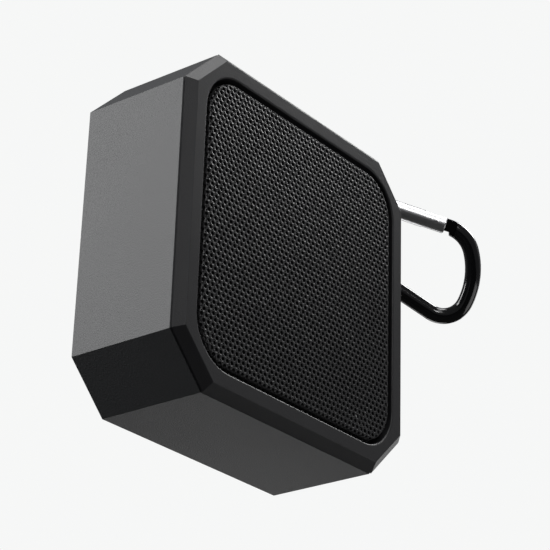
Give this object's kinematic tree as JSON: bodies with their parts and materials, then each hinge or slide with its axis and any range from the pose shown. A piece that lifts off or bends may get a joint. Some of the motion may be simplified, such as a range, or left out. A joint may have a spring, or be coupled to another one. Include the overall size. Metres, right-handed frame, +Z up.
{
  "type": "shower speaker",
  "caption": "Square portable speaker with cut corners, a perforated front grille, top buttons, a side port flap and a spring-gate carabiner hung in a swivel eye.",
  "frame": {"origin": "centre of the rear housing's flat bottom face", "axes": "+Z up, -Y out of the grille, +X to the side with the port flap and the cut corner that holds the swivel eye"},
  "size_m": [0.1266, 0.0368, 0.0931],
  "materials": {
    "housing_plastic": "fine matte grain",
    "bezel_plastic": "satin",
    "grille_paint": "satin black paint",
    "black_rubber": "matte",
    "button_rubber": "matte, fine grain",
    "clear_plastic": "clear, slightly frosted",
    "mesh_cloth": "fine black weave",
    "pressed_steel": "black zinc",
    "cone_paper": "pressed paper",
    "coil_former": "wound copper wire",
    "spider_cloth": "varnished cloth",
    "zinc_steel": "zinc plated",
    "ferrite": "ground ceramic",
    "board_green": "solder mask",
    "shield_steel": "satin",
    "cell_wrap": "shrink sleeve",
    "eye_steel": "satin",
    "black_coated_steel": "gloss black coating",
    "polished_steel": "polished",
    "spring_steel": "bright",
    "screw_steel": "zinc plated"
  },
  "bodies": {
    "speaker": {"rear_housing": "housing_plastic", "front_bezel": "bezel_plastic", "seal_gasket": "black_rubber", "grille": "grille_paint", "light_pipe": "clear_plastic", "screw_left_low": "screw_steel", "screw_right_low": "screw_steel", "screw_left_high": "screw_steel", "screw_right_high": "screw_steel", "acoustic_mesh": "mesh_cloth", "driver_frame": "pressed_steel", "driver_surround": "black_rubber", "driver_cone": "cone_paper", "dust_cap": "cone_paper", "voice_coil": "coil_former", "driver_spider": "spider_cloth", "top_plate": "zinc_steel", "magnet": "ferrite", "yoke": "zinc_steel", "circuit_board": "board_green", "radio_module": "shield_steel", "charging_port": "shield_steel", "battery": "cell_wrap", "battery_cradle": "housing_plastic", "switch_board": "board_green"},
    "button_power": {"button_power": "button_rubber"},
    "button_volume_down": {"button_volume_down": "button_rubber"},
    "button_play": {"button_play": "button_rubber"},
    "button_volume_up": {"button_volume_up": "button_rubber"},
    "flap": {"port_flap": "black_rubber"},
    "eye": {"swivel_eye": "eye_steel", "swivel_clip": "eye_steel"},
    "carabiner": {"carabiner_body": "black_coated_steel"},
    "gate": {"carabiner_gate": "polished_steel", "gate_pin": "polished_steel", "gate_spring": "spring_steel", "gate_plunger": "spring_steel"}
  },
  "joints": [
    {"name": "button_power_press", "type": "slide", "parent": "speaker", "child": "button_power", "axis": [0, 0, -1], "range_m": [0, 0.0005], "stiffness_N_per_m": 2000, "springref_m": -0.0003},
    {"name": "button_volume_down_press", "type": "slide", "parent": "speaker", "child": "button_volume_down", "axis": [0, 0, -1], "range_m": [0, 0.0005], "stiffness_N_per_m": 2000, "springref_m": -0.0003},
    {"name": "button_play_press", "type": "slide", "parent": "speaker", "child": "button_play", "axis": [0, 0, -1], "range_m": [0, 0.0005], "stiffness_N_per_m": 2000, "springref_m": -0.0003},
    {"name": "button_volume_up_press", "type": "slide", "parent": "speaker", "child": "button_volume_up", "axis": [0, 0, -1], "range_m": [0, 0.0005], "stiffness_N_per_m": 2000, "springref_m": -0.0003},
    {"name": "flap_hinge", "type": "hinge", "parent": "speaker", "child": "flap", "pos_m": [0.044, 0.0084, 0.01825], "axis": [0, 1, 0], "range_deg": [0, 90]},
    {"name": "eye_swivel", "type": "hinge", "parent": "speaker", "child": "eye", "pos_m": [0.0415, 0.00941, 0.0816], "axis": [0.7071, 0, 0.7071], "range_deg": [-60, 60]},
    {"name": "carabiner_swing", "type": "hinge", "parent": "eye", "child": "carabiner", "pos_m": [0.04693, 0.00941, 0.08704], "axis": [0.5129, 0.6884, -0.5129], "range_deg": [-60, 25]},
    {"name": "gate_hinge", "type": "hinge", "parent": "carabiner", "child": "gate", "pos_m": [0.06622, -0.0131, 0.08509], "axis": [-0.7056, -0.5677, -0.424], "range_deg": [0, 30], "stiffness_Nm_per_rad": 0.02, "springref_deg": -17.19}
  ]
}
